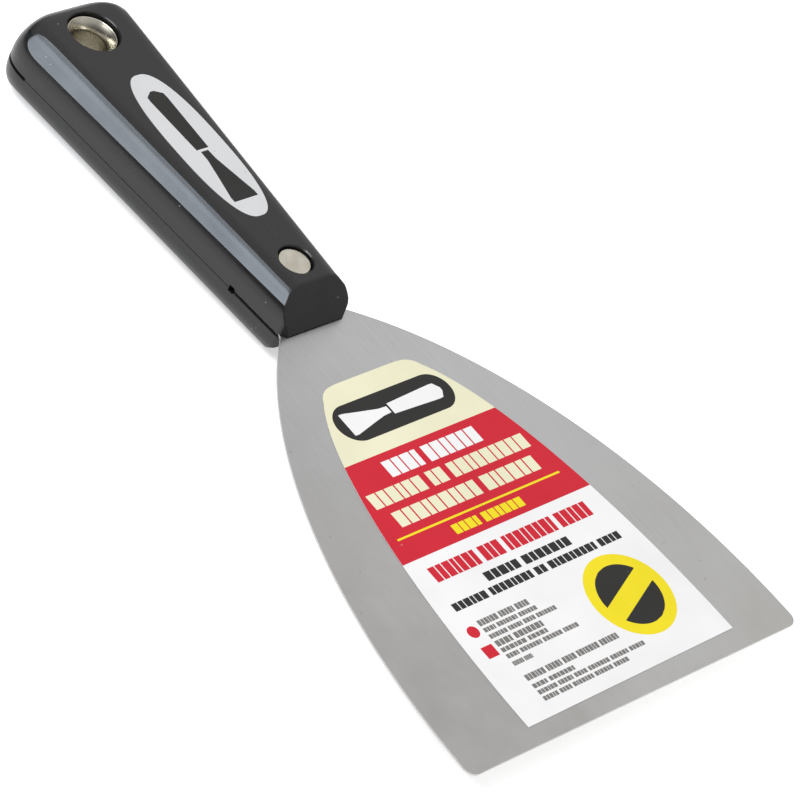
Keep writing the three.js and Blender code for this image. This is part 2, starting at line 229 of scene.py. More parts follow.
SIGN_BLADE = (  # the scraper sign's blade and neck: place along it, share of its half-width
    (-0.5, 1),
    (-0.46, 1),
    (-0.3, 0.66),
    (-0.14, 0.34),
    (-0.06, 0.3),
)
SIGN_GRIP = (-0.04, 0.5)  # its handle's two ends
SIGN_GRIP_WIDTHS = (0.5, 0.74)
SIGN_GRIP_ROUNDING = 0.06
SIGN_ROWS = 14
SIGN_COLUMNS = 8
EMBLEM_SIGN = (29, 6)  # length and width
PRINT_SIGN = (34, 7)

BAND_BOTTOM = 48.4  # the label's red band
BAND_TOP = 74.2
EMBLEM_Y = 83.2
EMBLEM_HALF_LENGTH = 17.2
EMBLEM_HALF_HEIGHT = 5
RULE = (-25.5, 24.7, 53.85, 54.35)  # left, right, bottom, top
DOT = (-26.4, 28.5, 1.5)  # middle and radius
SQUARE = (-28, -24.8, 21.6, 24.6)
BADGE_X = 15.7
BADGE_Y = 21.6
BADGE_RADIUS = 10.8
BADGE_INNER = 8
BADGE_BAND = 2.3  # half-width of the plain band across the badge
BADGE_TURN = math.radians(22)
BADGE_STEPS = 18
TYPE_LINES = {  # plain blocks in place of type: left, right, bottom, top, letters in each word
    "red": ((-24.6, 23.9, 41.7, 45.6, (7, 3, 8, 5)),),
    "yellow": ((-11.1, 10.2, 50, 52.5, (4, 6)),),
    "cream": ((-24.2, 23.6, 62.3, 66.2, (6, 2, 9)), (-21.9, 21.3, 56.4, 60.4, (9, 6))),
    "black": ((-13.3, 12.8, 37.4, 39.7, (5, 7)), (-26.2, 25.6, 34.1, 36.1, (6, 8, 2, 9, 4))),
    "white": ((-14.3, 13.7, 67.9, 72.2, (4, 6)),),
}
LETTER_WIDTHS = (1, 0.84, 1.08, 0.62, 0.94, 1.04, 0.72)
LETTER_GAP = 0.16
WORD_GAP = 0.7
SMALL_PRINT_LEFT = -23.8
SMALL_PRINT_WORD = 5.75  # usual length of one word
SMALL_PRINT = (  # middle, right end and height of each line of small print
    (29.7, -8.7, 1.5),
    (27.8, -7.9, 1.1),
    (26, -3.6, 1.1),
    (24, -9.6, 1.5),
    (22.2, -9.9, 1.1),
    (20.5, -2, 1.1),
    (18.5, -18, 1.1),
    (14.5, 4.6, 1.5),
    (12.2, -11.2, 1.1),
    (10.5, 9.1, 1.1),
    (8.8, 2.4, 1.1),
)

FLOOR_GLOW = 0.5  # the floor is a light table's paper, a little lit from below
WORLD_RISE = (0.12, 0.65)  # where along WORLD_LEAN its light starts and stops growing
WORLD_HORIZON = 0.06
WORLD_OVERHEAD = 0.87
WORLD_LEAN = (0.35, 0, 0.92)  # the direction its light grows brighter in
LAMP_AIM_Y = 150
CAMERA_ANGLES = (298.01, 40.192, -29.915)  # azimuth, elevation and roll in degrees
CAMERA_TARGET = (4.1, 84.6, 0)
CAMERA_DISTANCE = 0.8555  # metres
CAMERA_LENS = 181.83
CAMERA_SENSOR = 36
FLOOR_REACH = 6  # metres
FLOOR_DROP = 0.00005  # metres under the knife


# ---- mesh helpers ----


def add_object(name, mesh):
    made = bpy.data.objects.new(name, mesh)
    bpy.context.collection.objects.link(made)
    return made


def solid(name, points, faces, materials=(), face_materials=None):
    """A closed mesh from knife-frame points, merged and facing out."""
    mesh = bpy.data.meshes.new(name)
    mesh.from_pydata([knife_point(*p) for p in points], [], faces)
    for material in materials:
        mesh.materials.append(material)
    if face_materials:
        mesh.polygons.foreach_set("material_index", face_materials)
    bm = bmesh.new()
    bm.from_mesh(mesh)
    bmesh.ops.remove_doubles(bm, verts=bm.verts, dist=1e-7)
    bmesh.ops.recalc_face_normals(bm, faces=bm.faces)
    bm.to_mesh(mesh)
    bm.free()
    return add_object(name, mesh)


def ring_faces(first, second, count):
    """Quads that join two rings of the same length, given the index each starts at."""
    return [
        (first + i, first + (i + 1) % count, second + (i + 1) % count, second + i)
        for i in range(count)
    ]


def loft(name, rings, materials=(), ends=True):
    count = len(rings[0])
    points = [p for ring in rings for p in ring]
    faces = []
    for row in range(len(rings) - 1):
        faces += ring_faces(row * count, (row + 1) * count, count)
    if ends:
        faces.append(tuple(range(count)))
        faces.append(tuple(range(len(points) - count, len(points))))
    return solid(name, points, faces, materials)


def turned(name, profile, y, materials=(), segments=96, middle_x=0):
    """A closed turned piece on an upright axis. The profile is (radius, z) pairs."""
    rings = []
    for radius, z in profile:
        ring = []
        for i in range(segments):
            angle = 2 * math.pi * i / segments
            x = middle_x + radius * math.cos(angle)
            ring.append((x, y + radius * math.sin(angle), z))
        rings.append(ring)
    closed = profile[0] == profile[-1]
    return loft(name, rings, materials, ends=not closed)


def prism(name, rows, z_low, z_high, materials=()):
    """A flat plate from rows of (y, left x, right x)."""
    rings = []
    for y, left, right in rows:
        rings.append([(left, y, z_low), (right, y, z_low), (right, y, z_high), (left, y, z_high)])
    return loft(name, rings, materials)


def cut(piece, *cutters):
    """Subtracts the cutters from the piece for good and removes them."""
    for cutter in cutters:
        modifier = piece.modifiers.new("cut", "BOOLEAN")
        modifier.operation = "DIFFERENCE"
        modifier.solver = "EXACT"
        modifier.object = cutter
    bpy.context.view_layer.update()
    graph = bpy.context.evaluated_depsgraph_get()
    mesh = bpy.data.meshes.new_from_object(piece.evaluated_get(graph))
    piece.modifiers.clear()
    piece.data = mesh
    for cutter in cutters:
        bpy.data.objects.remove(cutter)


def shade(piece, angle=30):
    """Smooth shading that keeps edges sharper than the angle, in degrees, as edges."""
    mesh = piece.data
    mesh.shade_smooth()
    mesh.set_sharp_from_angle(angle=math.radians(angle))
    weighted = piece.modifiers.new("normals", "WEIGHTED_NORMAL")
    weighted.keep_sharp = True


def lerp(a, b, t):
    return a + (b - a) * t


def steps_between(start, end, step):
    count = max(1, math.ceil(abs(end - start) / step))
    return [lerp(start, end, i / count) for i in range(count + 1)]


# ---- materials ----


class Surface:
    """A Principled material whose sockets are fed by a few procedural textures."""

    def __init__(self, name, **sockets):
        self.material = bpy.data.materials.new(name)
        self.material.use_nodes = True
        self.tree = self.material.node_tree
        self.shader = self.tree.nodes["Principled BSDF"]
        for socket, value in sockets.items():
            self.shader.inputs[socket.replace("_", " ")].default_value = value
        self.place = self.add("ShaderNodeTexCoord").outputs["Object"]

    def add(self, kind, **settings):
        node = self.tree.nodes.new(kind)
        for key, value in settings.items():
            setattr(node, key, value)
        return node

    def link(self, source, target):
        self.tree.links.new(source, target)

    def stretched(self, scale):
        mapping = self.add("ShaderNodeMapping")
        mapping.inputs["Scale"].default_value = scale
        self.link(self.place, mapping.inputs["Vector"])
        return mapping.outputs["Vector"]

    def noise(self, scale, detail=3, roughness=0.5):
        """Noise with a scale per axis, in cells per metre."""
        texture = self.add("ShaderNodeTexNoise")
        texture.inputs["Scale"].default_value = 1
        texture.inputs["Detail"].default_value = detail
        texture.inputs["Roughness"].default_value = roughness
        self.link(self.stretched(scale), texture.inputs["Vector"])
        return texture.outputs["Fac"]

    def specks(self, scale, size, share):
        """1 inside round specks of a given size, in a share of the cells, else 0."""
        texture = self.add("ShaderNodeTexVoronoi")
        texture.inputs["Scale"].default_value = 1
        self.link(self.stretched((scale,) * 3), texture.inputs["Vector"])
        inside = self.mapped(texture.outputs["Distance"], size, size * 0.6, 0, 1)
        parts = self.add("ShaderNodeSeparateColor")
        self.link(texture.outputs["Color"], parts.inputs["Color"])
        chosen = self.math("LESS_THAN", parts.outputs["Red"], share)
        return self.math("MULTIPLY", inside, chosen)

    def mapped(self, value, low, high, to_low, to_high):
        node = self.add("ShaderNodeMapRange")
        node.inputs["From Min"].default_value = low
        node.inputs["From Max"].default_value = high
        node.inputs["To Min"].default_value = to_low
        node.inputs["To Max"].default_value = to_high
        self.link(value, node.inputs["Value"])
        return node.outputs["Result"]

    def math(self, operation, first, second):
        node = self.add("ShaderNodeMath", operation=operation)
        for socket, value in zip(node.inputs, (first, second)):
            if isinstance(value, (int, float)):
                socket.default_value = value
            else:
                self.link(value, socket)
        return node.outputs["Value"]

    def mix(self, factor, first, second):
        """A colour mix. Each side is an (r, g, b) colour or another mix's output."""
        node = self.add("ShaderNodeMix", data_type="RGBA")
        self.link(factor, node.inputs["Factor"])
        for socket, value in ((node.inputs[6], first), (node.inputs[7], second)):
            if isinstance(value, tuple):
                socket.default_value = (*value, 1)
            else:
                self.link(value, socket)
        return node.outputs[2]

    def along(self, axis, start, end):
        """0 to 1 between two places along one axis, in metres."""
        parts = self.add("ShaderNodeSeparateXYZ")
        self.link(self.place, parts.inputs["Vector"])
        return self.mapped(parts.outputs[axis], start, end, 0, 1)

    def colour(self, value):
        self.link(value, self.shader.inputs["Base Color"])

    def roughness(self, value):
        self.link(value, self.shader.inputs["Roughness"])

    def bump(self, *layers):
        """Stacked bumps, each (height, depth in metres, strength)."""
        normal = None
        for height, depth, strength in layers:
            node = self.add("ShaderNodeBump")
            node.inputs["Distance"].default_value = depth
            node.inputs["Strength"].default_value = strength
            self.link(height, node.inputs["Height"])
            if normal:
                self.link(normal, node.inputs["Normal"])
            normal = node.outputs["Normal"]
        self.link(normal, self.shader.inputs["Normal"])


def spring_steel():
    """Satin ground steel: grind lines along the blade, faint clouds, specks, a warmer working
    edge and painted shade that darkens the side towards -X, most near the working edge."""
    surface = Surface("spring_steel", Metallic=1.0, Anisotropic=0.25)
    lines = surface.noise((5200, 90, 5200), detail=4)
    clouds = surface.noise((42, 30, 42), detail=4, roughness=0.6)
    grain = surface.noise((2600, 2600, 2600), detail=2)
    dots = surface.specks(420, 0.13, 0.1)
    streaks = surface.mapped(lines, 0.3, 0.7, 0, 1)
    base = surface.mix(streaks, (0.50, 0.50, 0.505), (0.56, 0.56, 0.565))
    warm_edge = surface.along("Y", EDGE_Y + 85 * MM, EDGE_Y)
    warm = surface.math("MULTIPLY", warm_edge, 0.55)
    base = surface.mix(warm, base, (0.47, 0.455, 0.41))
    # painted shade: the steel's colour grows darker towards -X, strongest near the working edge
    far_side = surface.along("X", 20 * MM, -50 * MM)
    painted_shade = surface.math("MULTIPLY", far_side, surface.mapped(warm_edge, 0, 1, 0.45, 0.9))
    base = surface.mix(painted_shade, base, (0.39, 0.375, 0.365))
    base = surface.mix(surface.mapped(clouds, 0.35, 0.7, 0, 0.5), base, (0.62, 0.62, 0.625))
    base = surface.mix(surface.math("MULTIPLY", dots, 0.5), base, (0.28, 0.27, 0.25))
    surface.colour(base)
    surface.roughness(surface.mapped(clouds, 0.3, 0.7, 0.36, 0.46))
    surface.bump((lines, 0.00002, 0.35), (grain, 0.00001, 0.3))
    return surface.material


def nylon(name, roughness_low, roughness_high, grain_strength, reflection_tint=(1, 1, 1, 1)):
    """Moulded black nylon with fine grain, faint rub marks and pale dust specks."""
    surface = Surface(name, IOR=1.48, Specular_Tint=reflection_tint)
    clouds = surface.noise((130, 60, 130), detail=4, roughness=0.6)
    grain = surface.noise((2400, 2400, 2400), detail=2)
    rubs = surface.noise((1500, 130, 1500), detail=2)
    dots = surface.specks(420, 0.09, 0.16)
    base = surface.mix(clouds, (0.006, 0.006, 0.0065), (0.010, 0.0095, 0.0095))
    base = surface.mix(surface.mapped(rubs, 0.64, 0.76, 0, 0.2), base, (0.05, 0.05, 0.052))
    base = surface.mix(surface.math("MULTIPLY", dots, 0.6), base, (0.34, 0.34, 0.34))
    surface.colour(base)
    surface.roughness(surface.mapped(clouds, 0.3, 0.7, roughness_low, roughness_high))
    surface.bump((grain, 0.00002, grain_strength), (rubs, 0.00001, grain_strength / 2))
    return surface.material


def nickel():
    """Plated metal with turning marks from the press tool and faint tarnish."""
    surface = Surface("nickel_plate", Metallic=1.0)
    tarnish = surface.noise((420, 420, 420), detail=4, roughness=0.6)
    grain = surface.noise((3800, 3800, 900), detail=3)
    dots = surface.specks(900, 0.16, 0.1)
    dulled = surface.mapped(tarnish, 0.35, 0.7, 0, 1)
    base = surface.mix(dulled, (0.64, 0.61, 0.53), (0.54, 0.505, 0.42))
    base = surface.mix(surface.math("MULTIPLY", dots, 0.35), base, (0.25, 0.22, 0.17))
    surface.colour(base)
    surface.roughness(surface.mapped(tarnish, 0.3, 0.7, 0.2, 0.32))
    surface.bump((grain, 0.00001, 0.25))
    return surface.material


def foil():
    """Hot-stamped silver: matt metal leaf with tiny voids where it did not take."""
    surface = Surface("silver_foil", Metallic=0.35)
    clouds = surface.noise((180, 90, 180), detail=3)
    grain = surface.noise((3000, 3000, 3000), detail=2)
    voids = surface.specks(700, 0.14, 0.1)
    base = surface.mix(clouds, (0.66, 0.66, 0.67), (0.73, 0.73, 0.74))
    base = surface.mix(surface.math("MULTIPLY", voids, 0.5), base, (0.2, 0.2, 0.2))
    surface.colour(base)
    surface.roughness(surface.mapped(clouds, 0.3, 0.7, 0.42, 0.52))
    surface.bump((grain, 0.00001, 0.3))
    return surface.material


def printed(name, colour, roughness=0.38):
    """Ink or film: an even colour with faint mottle, halftone grain and rubbed specks."""
    surface = Surface(name, Specular_IOR_Level=0.22)
    mottle = surface.noise((70, 70, 70), detail=4)
    grain = surface.noise((2800, 2800, 2800), detail=1)
    rubbed = surface.specks(330, 0.1, 0.1)
    deeper = tuple(channel * 0.93 for channel in colour)
    paler = tuple(lerp(channel, 0.8, 0.45) for channel in colour)
    base = surface.mix(surface.mapped(mottle, 0.3, 0.7, 0, 1), colour, deeper)
    base = surface.mix(surface.math("MULTIPLY", rubbed, 0.35), base, paler)
    surface.colour(base)
    surface.roughness(surface.mapped(mottle, 0.3, 0.7, roughness, roughness + 0.1))
    surface.bump((grain, 0.00001, 0.12))
    return surface.material


def floor_paper():
    surface = Surface("floor_paper", Roughness=0.9, Emission_Strength=FLOOR_GLOW)
    surface.shader.inputs["Emission Color"].default_value = (1, 1, 1, 1)
    mottle = surface.noise((4, 4, 4), detail=2)
    grain = surface.noise((900, 900, 900), detail=2)
    surface.colour(surface.mix(mottle, (0.93, 0.93, 0.93), (0.95, 0.95, 0.95)))
    surface.bump((grain, 0.00002, 0.05))
    return surface.material


steel = spring_steel()
black_nylon = nylon("black_nylon", 0.26, 0.36, 0.35)
# painted reflection: the bluish specular tint gives the chamfer's reflections the cool colour of
# the softbox
polished_nylon = nylon("polished_nylon", 0.14, 0.24, 0.06, (0.84, 0.92, 1.0, 1))
nickel_plate = nickel()
silver_foil = foil()
film_white = printed("film_white", (0.90, 0.89, 0.89))
ink_cream = printed("ink_cream", (0.84, 0.81, 0.58))
ink_red = printed("ink_red", (0.62, 0.012, 0.030))
ink_yellow = printed("ink_yellow", (0.90, 0.74, 0.010))
ink_black = printed("ink_black", (0.022, 0.021, 0.020))
ink_grey = printed("ink_grey", (0.20, 0.19, 0.18))

# ---- handle scales ----


def handle_half_width(y):
    """Straight and widening, closed at the butt by a quarter of a superellipse."""
    straight = NOSE_HALF_WIDTH + (y - NOSE_Y) * HANDLE_FLARE
    past = min(1, max(0, (y - BUTT_Y + BUTT_ROUNDING) / BUTT_ROUNDING))
    return straight * (1 - past**BUTT_SQUARENESS) ** (1 / BUTT_SQUARENESS)


def handle_half_thickness(y, face):
    """One scale's thickness, rounded over at the butt's end."""
    past = max(0, y - (BUTT_Y - BUTT_FACE_RADIUS))
    drop = BUTT_FACE_RADIUS - math.sqrt(max(0, BUTT_FACE_RADIUS**2 - past**2))
    return face - drop


def chamfer_sag(y, face, centre_x, centre_z, radius):
    """How far the chamfer's flat lies under the rounded edge it is cut into."""
    along = (y - FACET_TOP_Y) / (CHAMFER_END_Y - FACET_TOP_Y)
    straight = NOSE_HALF_WIDTH + (y - NOSE_Y) * HANDLE_FLARE
    middle_x = straight - lerp(CHAMFER_INSET_NOSE[0], CHAMFER_INSET_BUTT[0], along)
    middle_z = face - lerp(CHAMFER_INSET_NOSE[1], CHAMFER_INSET_BUTT[1], along)
    facing = Vector((math.cos(CHAMFER_ANGLE), math.sin(CHAMFER_ANGLE)))
    return max(0, radius - facing.dot((middle_x - centre_x, middle_z - centre_z)))


def floor_height(y):
    """Underside of a scale: the parting plane, or the slots that the tang shows in."""
    if y < SHOULDER_END or y > BUTT_SLOT:
        return SLOT_HALF
    return RELIEF_HALF if y < RELIEF_END else PARTING_HALF


def half_section(y, face):
    """One half of a scale's cross-section, from the middle of the face round to the middle
    of the underside, as (x, z, outward x, outward z)."""
    width = handle_half_width(y)
    thickness = handle_half_thickness(y, face)
    along = (y - NOSE_Y) / (BUTT_Y - NOSE_Y)
    wanted = lerp(NOSE_EDGE_RADIUS, BUTT_EDGE_RADIUS, along)
    radius = min(wanted, width * 0.98, thickness * 0.98)
    centre_x = width - radius
    centre_z = thickness - radius
    sag = min(chamfer_sag(y, face, centre_x, centre_z, radius), 0.3 * radius)
    half_angle = max(math.acos(1 - sag / radius), CHAMFER_LEAST_HALF_ANGLE)
    crown = CHAMFER_CROWN * 2 * radius * math.sin(half_angle) if sag > 0 else 0
    bottom = floor_height(y)

    upper = CHAMFER_ANGLE + CHAMFER_MARGIN * half_angle
    lower = CHAMFER_ANGLE - CHAMFER_MARGIN * half_angle
    angles = [(lerp(math.pi / 2, upper, i / (ARC_COLUMNS - 1)), 0) for i in range(ARC_COLUMNS)]
    for offset in CHAMFER_COLUMNS:
        if offset > CHAMFER_RIDGE:
            lift = crown * (1 - offset) / (1 - CHAMFER_RIDGE)
        else:
            lift = crown * (1 + offset) / (1 + CHAMFER_RIDGE)
        angles.append((CHAMFER_ANGLE + offset * half_angle, lift))
    angles += [(lerp(lower, 0, i / ARC_COLUMNS), 0) for i in range(ARC_COLUMNS + 1)]

    section = [(centre_x * i / FACE_COLUMNS, thickness, 0, 1) for i in range(FACE_COLUMNS)]
    for angle, lift in angles:
        reach = min(radius, (radius - sag) / math.cos(angle - CHAMFER_ANGLE)) + lift
        x = centre_x + reach * math.cos(angle)
        z = max(centre_z + reach * math.sin(angle), bottom + PARTING_LIP)
        section.append((x, z, math.cos(angle), math.sin(angle)))

    wall_top = max(centre_z, bottom + PARTING_LIP)
    foot = (centre_z - FACET_FOOT_Z) / max(0.1, centre_z - bottom - PARTING_LIP)
    for share in (min(max(foot, 0.02), 0.2), *WALL_HEIGHTS):
        section.append((width, lerp(wall_top, bottom + PARTING_LIP, share), 1, 0))
    lip = PARTING_LIP
    section.append((width - 0.3 * lip, bottom + 0.3 * lip, math.sqrt(0.5), -math.sqrt(0.5)))
    section.append((width - lip if width > 2 * lip else width / 2, bottom, 0, -1))
    section.append((width / 2, bottom, 0, -1))
    section.append((0, bottom, 0, -1))
    return section


def nose_plane_y(x, z, face):
    """Y of the nose's front at a place in the cross-section."""
    if z > FACET_FOOT_Z:
        rise = (z - FACET_FOOT_Z) / (face - FACET_FOOT_Z)
        front = lerp(FACET_FOOT_Y, FACET_TOP_Y, rise)
    else:
        front = lerp(NOSE_Y, FACET_FOOT_Y, z / FACET_FOOT_Z)
    corner = NOSE_Y + abs(x) - (NOSE_HALF_WIDTH - NOSE_CORNER_CUT)
    return max(front, corner)


def column_end(column, face):
    """Where one column of the section meets the nose's front."""
    y = FACET_TOP_Y
    for _ in range(12):
        x, z, _, _ = half_section(y, face)[column]
        y = nose_plane_y(x, z, face)
    return y


def scale_stations():
    """Where a scale's cross-sections stand, from behind the nose to the butt's end."""
    stations = steps_between(NOSE_ROWS_END, 190, 2)
    stations += steps_between(190, 199, 0.25)[1:]
    edges = (SHOULDER_END, RELIEF_END, BUTT_SLOT)
    stations = [y for y in stations if all(abs(y - edge) > 0.1 for edge in edges)]
    for edge in edges:
        stations += [edge - STEP, edge + STEP]
    first = math.asin((BUTT_ROWS_START - BUTT_Y + BUTT_ROUNDING) / BUTT_ROUNDING)
    for i in range(BUTT_ROWS):
        angle = lerp(first, math.pi / 2, i / BUTT_ROWS)
        stations.append(BUTT_Y - BUTT_ROUNDING * (1 - math.sin(angle)))
    stations.append(BUTT_Y - 0.002)
    return sorted(stations)


def nose_rows(columns, face):
    """Rows of points from the nose's cap out over its rounded edge and along the sides."""
    ends = [column_end(column, face) for column in range(columns)]
    rows = [[] for _ in range(NOSE_FILLET_ROWS + NOSE_ROWS)]
    for column, end in enumerate(ends):
        x, z, out_x, out_z = half_section(end, face)[column]
        edge = Vector((x, end, z))
        in_x = max(0, x - NOSE_FILLET * out_x)
        in_z = z - NOSE_FILLET * out_z
        inside = Vector((in_x, nose_plane_y(in_x, in_z, face), in_z))
        x, z, _, _ = half_section(end + NOSE_FILLET, face)[column]
        outside = Vector((x, end + NOSE_FILLET, z))
        for step in range(NOSE_FILLET_ROWS):
            t = step / NOSE_FILLET_ROWS
            curve = inside * (1 - t) ** 2 + edge * 2 * t * (1 - t) + outside * t**2
            rows[step].append(tuple(curve))
        for step in range(NOSE_ROWS):
            y = lerp(end + NOSE_FILLET, NOSE_ROWS_END, step / NOSE_ROWS)
            x, z, _, _ = half_section(y, face)[column]
            rows[NOSE_FILLET_ROWS + step].append((x, y, z))
    return rows


def mirrored_ring(half, side):
    """The whole ring from one half, on the front (side 1) or the back (side -1)."""
    right = [(x, y, side * z) for x, y, z in half]
    left = [(-x, y, z) for x, y, z in reversed(right[1:-1])]
    return right + left


def nose_cap(half, side, face):
    """Faces over the nose's front: strips between the two sides, bent at the cut corners."""
    wall = half[FACE_COLUMNS:-3]
    points = []
    faces = []

    def strip_row(x, z):
        front = nose_plane_y(0, z, face)
        bend = NOSE_HALF_WIDTH - NOSE_CORNER_CUT + front - NOSE_Y
        bend = min(bend, x - 0.01)
        first = len(points)
        for place in (-x, -bend, bend, x):
            points.append((place, nose_plane_y(place, z, face), side * z))
        return first

    previous = None
    for x, _, z in wall:
        row = strip_row(x, z)
        if previous is not None:
            for i in range(3):
                faces.append((previous + i, previous + i + 1, row + i + 1, row + i))
        else:
            top = [(p[0], p[1], side * p[2]) for p in half[1:FACE_COLUMNS]]
            first = len(points)
            points.append((0, half[0][1], side * half[0][2]))
            points += top
            points += [(-x, y, z) for x, y, z in top]
            count = len(top)
            right = [first + 1 + i for i in range(count)]
            left = [first + 1 + count + i for i in range(count)]
            faces.append((*range(row, row + 4), *reversed(right), first, *left))
        previous = row
    lip_row = previous
    first = len(points)
    below = [(p[0], p[1], side * p[2]) for p in half[-3:-1]]
    points.append((0, half[-1][1], side * half[-1][2]))
    points += below
    points += [(-x, y, z) for x, y, z in below]
    faces.append((*range(lip_row, lip_row + 4), first + 1, first + 2, first, first + 4, first + 3))
    return points, faces


def scale_blank(name, side, face):
    columns = len(half_section(NOSE_ROWS_END, face))
    nose = nose_rows(columns, face)
    halves = list(nose)
    for y in scale_stations():
        halves.append([(x, y, z) for x, z, _, _ in half_section(y, face)])
    rings = [mirrored_ring(half, side) for half in halves]
    count = len(rings[0])
    points = [p for ring in rings for p in ring]
    faces = []
    kinds = []
    last_polished = CHAMFER_FIRST + len(CHAMFER_COLUMNS) - 2
    for row in range(len(rings) - 1):
        y = rings[row][0][1]
        polished_row = NOSE_FILLET_ROWS <= row and y < POLISH_END_Y
        for i, quad in enumerate(ring_faces(row * count, (row + 1) * count, count)):
            column = i if i < columns - 1 else count - 1 - i
            faces.append(quad)
            polished = polished_row and CHAMFER_FIRST <= column <= last_polished
            kinds.append(1 if polished else 0)
    cap_points, cap_faces = nose_cap(nose[0], side, face)
    faces += [tuple(len(points) + i for i in cap_face) for cap_face in cap_faces]
    points += cap_points
    faces.append(tuple(range(len(rings) * count - count, len(rings) * count)))
    kinds += [0] * (len(faces) - len(kinds))
    return solid(name, points, faces, (black_nylon, polished_nylon), kinds)


def stepped_bore(bore, counterbore, depth, y, side, face):
    """Cutter for a bore and its counterbore, with a small chamfer at the face."""
    floor = face - depth
    profile = [
        (bore, -side),
        (bore, side * floor),
        (counterbore, side * floor),
        (counterbore, side * (face - LIP_CHAMFER)),
        (counterbore + LIP_CHAMFER, side * face),
        (counterbore + LIP_CHAMFER, side * (face + 1)),
    ]
    return turned("bore_cutter", profile, y)


def superellipse_rows(grow):
    """The foil's outline on the handle."""
    rows = []
    steps = 48
    for i in range(1, steps):
        angle = math.pi * i / steps
        along = -math.cos(angle)
        reach = (1 - abs(along) ** PRINT_SQUARENESS) ** (1 / PRINT_SQUARENESS)
        half = (PRINT_HALF_WIDTH + grow) * reach
        y = PRINT_Y + along * (PRINT_HALF_LENGTH + grow)
        rows.append((y, PRINT_X - half, PRINT_X + half))
    return rows


def tang_rows(grow):
    """The tang's stem and its head, whose outline is set in from the butt's."""
    head_end = BUTT_Y - TANG_INSET + grow
    stem = TANG_STEM_HALF + grow
    rows = [(SHOULDER_END - 0.5, -stem, stem), (TANG_HEAD_Y - grow - STEP, -stem, stem)]
    for y in steps_between(TANG_HEAD_Y - grow, head_end - 0.05, 0.5):
        outline_y = y + TANG_INSET * (y - TANG_HEAD_Y) / TANG_END_REACH
        half = max(0.4, handle_half_width(outline_y) - TANG_INSET + grow)
        rows.append((y, -half, half))
    return rows


def make_scale(name, side, face):
    scale = scale_blank(name, side, face)
    cutters = [
        stepped_bore(
            RIVET_TUBE + RIVET_CLEARANCE,
            RIVET_RADIUS + COUNTERBORE_GAP,
            RIVET_RECESS + RIVET_HEAD_THICKNESS,
            RIVET_Y,
            side,
            face,
        ),
        stepped_bore(
            EYELET_BORE + EYELET_WALL + EYELET_CLEARANCE,
            EYELET_RADIUS + COUNTERBORE_GAP,
            EYELET_RECESS + EYELET_FLARE_DEPTH + EYELET_WALL,
            HOLE_Y,
            side,
            face,
        ),
        prism("pocket_cutter", tang_rows(TANG_CLEARANCE), -SLOT_HALF, SLOT_HALF),
    ]
    if side > 0:
        cutters.append(
            prism("print_cutter", superellipse_rows(PRINT_CLEARANCE), PRINT_LOW - 0.02, face + 1)
        )
    cut(scale, *cutters)
    shade(scale, 13)
    return scale


# ---- blade and tang ----


def blade_side(y, side):
    """X of the blade's edge on one side: an arc that runs into the neck under the handle."""
    if y < BLADE_CORNER:
        fall = BLADE_CORNER - math.sqrt(BLADE_CORNER**2 - (BLADE_CORNER - y) ** 2)
        return side * (BLADE_HALF_WIDTH - fall)
    centre = BLADE_HALF_WIDTH - BLADE_SIDE_X
    rise = min(1, (y - BLADE_CORNER) / BLADE_SIDE_Y)
    curve = centre + BLADE_SIDE_X * math.sqrt(1 - rise**2)
    neck_half = NOSE_HALF_WIDTH + (y - NOSE_Y) * HANDLE_FLARE - NECK_INSET
    neck = side * seated(side * neck_half, y)[0]
    gap = curve - neck
    return side * (neck + (gap + math.sqrt(gap**2 + NECK_SOFTNESS**2)) / 2)


def make_blade():
    """One springy sheet from the working edge to the end of the tang's shoulders."""
    rounding = BLADE_EDGE_ROUNDING
    rim = [(0.3 * rounding, 0.84), (0, 0.45)]
    stations = [0, 0.3 * rounding, rounding, 0.6, 1, 1.5, 2, 2.5]
    stations += steps_between(4, SHOULDER_END, BLADE_ROW)
    rings = []
    for y in stations:
        left = blade_side(y, -1)
        right = blade_side(y, 1)
        shrink = 0.45 if y == 0 else (0.84 if y < rounding else 1)
        half = BLADE_HALF_THICKNESS * shrink
        top = [(left + inset, y, half * height) for inset, height in reversed(rim)]
        for i in range(BLADE_COLUMNS + 1):
            x = lerp(left + rounding, right - rounding, i / BLADE_COLUMNS)
            top.append((x, y, half))
        top += [(right - inset, y, half * height) for inset, height in rim]
        rings.append(top + [(x, y, -z) for x, y, z in reversed(top)])
    blade = loft("blade_sheet", rings, (steel,))
    hole = RIVET_TUBE + RIVET_CLEARANCE
    cut(blade, turned("hole_cutter", [(hole, -3), (hole, 3)], RIVET_Y, middle_x=RIVET_X))
    shade(blade, 40)
    return blade


def make_tang():
    tang = prism(
        "tang_plate", tang_rows(0), -BLADE_HALF_THICKNESS, BLADE_HALF_THICKNESS, (steel,)
    )
    hole = EYELET_BORE + EYELET_WALL + EYELET_CLEARANCE
    cut(tang, turned("hole_cutter", [(hole, -3), (hole, 3)], HOLE_Y))
    shade(tang)
    return tang


# ---- rivet and eyelet ----


def make_rivet_half(name, side, face, shank, shank_end):
    """A head with a slightly dished top and rounded rim, and its shank."""
    top = face - RIVET_RECESS
    seat = top - RIVET_HEAD_THICKNESS
    radius = RIVET_RADIUS
    outline = [(CENTRE, top - 0.03), (0.6 * radius, top - 0.02), (radius - 0.6, top)]
    for angle in (1.57, 1.2, 0.8, 0.4, 0):
        inward = RIVET_RIM * (1 - math.cos(angle))
        outline.append((radius - inward, top - RIVET_RIM * (1 - math.sin(angle))))
    outline += [(radius, seat + 0.1), (radius - 0.1, seat), (shank, seat)]
    outline += [(shank, shank_end), (CENTRE, shank_end)]
    profile = [(r, side * z) for r, z in outline]
    rivet = turned(name, profile, RIVET_Y, (nickel_plate,))
    shade(rivet)
    return rivet


